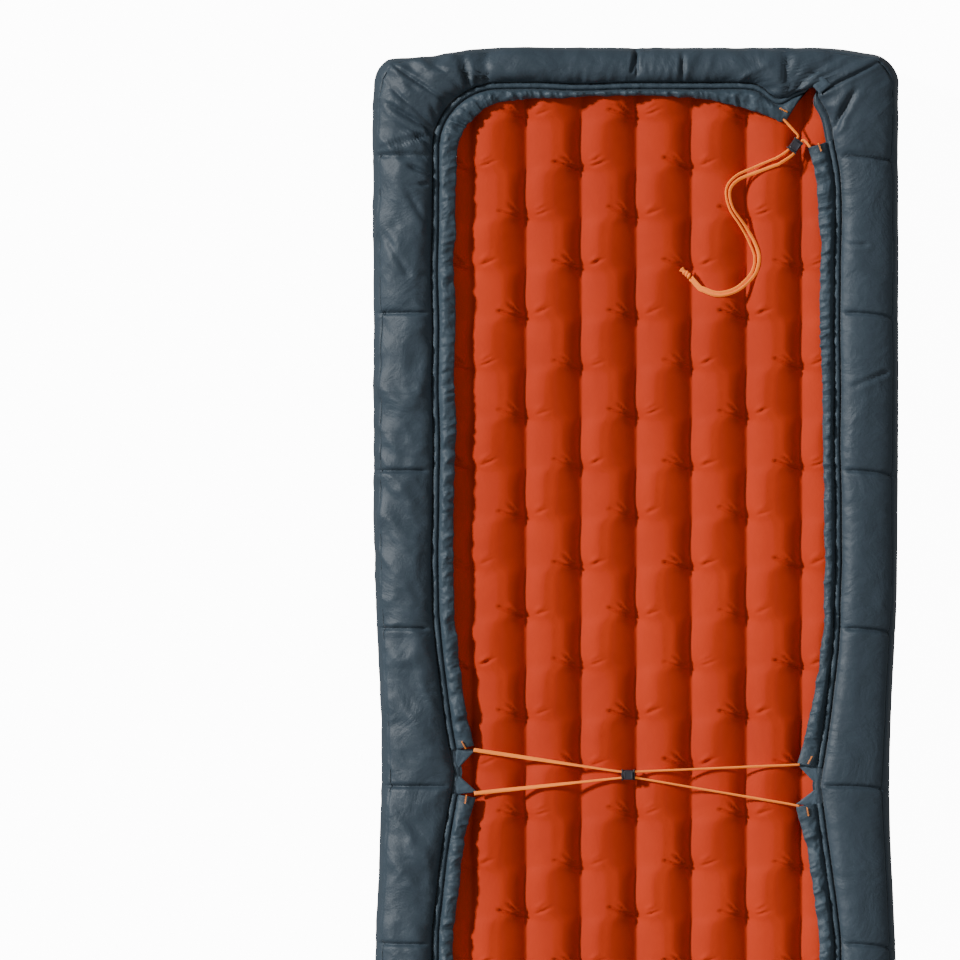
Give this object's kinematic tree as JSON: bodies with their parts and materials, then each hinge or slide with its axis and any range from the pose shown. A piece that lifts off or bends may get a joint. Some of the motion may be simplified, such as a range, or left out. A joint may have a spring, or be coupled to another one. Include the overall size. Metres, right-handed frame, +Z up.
{
  "type": "camp quilt",
  "caption": "Padded camp quilt lying underside up over its air pad: quilted shell with rounded corners, elasticated hem opening, cross cords and cord locks.",
  "frame": {"origin": "middle of the ground contact, under the quilt's centre", "axes": "+X across the quilt, +Y towards the head end, +Z up, out of the underside opening"},
  "size_m": [0.66, 1.85, 0.114],
  "materials": {
    "cover_fabric": "satin",
    "batting": "matte",
    "lining_fabric": "satin",
    "hem_fabric": "satin",
    "elastic_cord": "matte",
    "tack_thread": "matte",
    "lock_plastic": "satin",
    "button_plastic": "satin",
    "spring_steel": "satin",
    "pad_fabric": "satin",
    "pad_web_fabric": "matte",
    "valve_plastic": "satin",
    "valve_rubber": "matte"
  },
  "bodies": {
    "root": {"outer_cover": "cover_fabric", "insulation_batt": "batting", "lining": "lining_fabric", "head_casing": "hem_fabric", "side_casing": "hem_fabric", "foot_casing": "hem_fabric", "right_waist_facing": "hem_fabric", "left_waist_facing": "hem_fabric", "corner_binding": "hem_fabric", "cord_knot": "elastic_cord", "pad_upper_sheet": "pad_fabric", "pad_lower_sheet": "pad_fabric", "valve_body": "valve_plastic", "valve_flap": "valve_rubber", "valve_hinge_pin": "spring_steel", "head_link_cord": "elastic_cord", "side_link_cord": "elastic_cord", "free_strand_left": "elastic_cord", "free_strand_right": "elastic_cord", "right_head_strand": "elastic_cord", "right_foot_strand": "elastic_cord", "left_head_strand": "elastic_cord", "left_foot_strand": "elastic_cord", "head_drawcord": "elastic_cord", "side_drawcord": "elastic_cord", "foot_drawcord": "elastic_cord", "pad_web_1": "pad_web_fabric", "pad_web_2": "pad_web_fabric", "pad_web_3": "pad_web_fabric", "pad_web_4": "pad_web_fabric", "pad_web_5": "pad_web_fabric", "pad_web_6": "pad_web_fabric", "pad_web_7": "pad_web_fabric", "pad_web_8": "pad_web_fabric", "pad_web_9": "pad_web_fabric", "bartack_head_corner": "tack_thread", "bartack_head_left": "tack_thread", "bartack_side_right": "tack_thread", "bartack_side_corner": "tack_thread", "bartack_foot_left": "tack_thread", "bartack_foot_right": "tack_thread"},
    "corner_lock": {"corner_lock_barrel": "lock_plastic", "corner_lock_spring": "spring_steel"},
    "corner_button": {"corner_lock_button": "button_plastic"},
    "centre_lock": {"centre_lock_barrel": "lock_plastic", "centre_lock_spring": "spring_steel"},
    "centre_button": {"centre_lock_button": "button_plastic"},
    "valve_lid": {"valve_lid": "valve_plastic"}
  },
  "joints": [
    {"name": "corner_lock_slide", "type": "slide", "parent": "root", "child": "corner_lock", "axis": [-0.6, -0.8, 0], "range_m": [0, 0.03], "deforming": ["head_link_cord", "side_link_cord", "free_strand_left", "free_strand_right"]},
    {"name": "corner_button_press", "type": "slide", "parent": "corner_lock", "child": "corner_button", "axis": [0, 0, -1], "range_m": [0, 0.002], "stiffness_N_per_m": 600, "springref_m": -0.001, "deforming": ["corner_lock_spring"]},
    {"name": "centre_lock_slide", "type": "slide", "parent": "root", "child": "centre_lock", "axis": [1, 0, 0], "range_m": [-0.06, 0.06], "deforming": ["right_head_strand", "right_foot_strand", "left_head_strand", "left_foot_strand"]},
    {"name": "centre_button_press", "type": "slide", "parent": "centre_lock", "child": "centre_button", "axis": [0, 0, -1], "range_m": [0, 0.002], "stiffness_N_per_m": 600, "springref_m": -0.001, "deforming": ["centre_lock_spring"]},
    {"name": "valve_lid_hinge", "type": "hinge", "parent": "root", "child": "valve_lid", "pos_m": [-0.1725, -0.78825, 0.10565], "axis": [1, 0, 0], "range_deg": [0, 150]}
  ]
}
